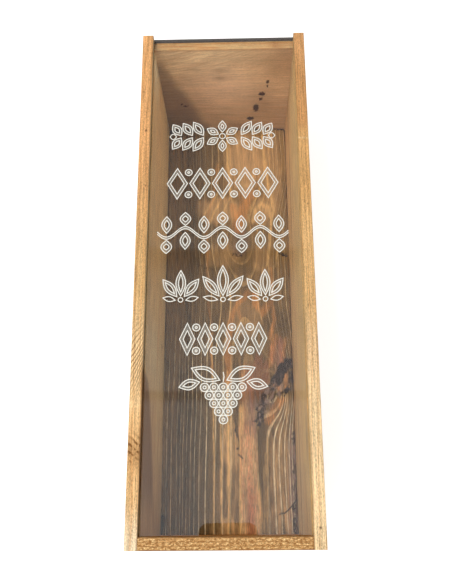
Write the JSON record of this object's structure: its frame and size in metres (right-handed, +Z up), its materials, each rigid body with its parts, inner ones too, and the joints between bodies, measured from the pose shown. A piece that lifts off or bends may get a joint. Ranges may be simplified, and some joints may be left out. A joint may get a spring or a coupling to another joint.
{
  "type": "wine box",
  "caption": "Long nailed wooden gift box for one wine bottle, open at the front, with a clear lid that slides out in grooves over the lower head board.",
  "frame": {"origin": "bottom centre of the whole box, as it lies on its back", "axes": "+X across the box to the right seen from the front with the head end up, +Y along the box to the head end, where the lid comes out, +Z up out of the box's open front"},
  "size_m": [0.115, 0.35, 0.1175],
  "materials": {
    "side_wood": "honey-stained pine, planed",
    "head_wood": "light brown pine, long grain, planed",
    "foot_wood": "golden pine, rough-sawn end grain on the front edge",
    "burnt_wood": "burnt and brushed pine",
    "clear_lid": "clear polished acrylic sheet",
    "brad_steel": "plain steel, slightly dulled"
  },
  "bodies": {
    "box": {"left_side": "side_wood", "right_side": "side_wood", "head_board": "head_wood", "foot_board": "foot_wood", "back_plank": "burnt_wood", "head_brads_left": "brad_steel", "head_brads_right": "brad_steel", "foot_brads_left": "brad_steel", "foot_brads_right": "brad_steel", "back_brads_left": "brad_steel", "back_brads_right": "brad_steel"},
    "lid": {"sliding_lid": "clear_lid"}
  },
  "joints": [
    {"name": "lid_slide", "type": "slide", "parent": "box", "child": "lid", "axis": [0, 1, 0], "range_m": [0, 0.342]}
  ]
}
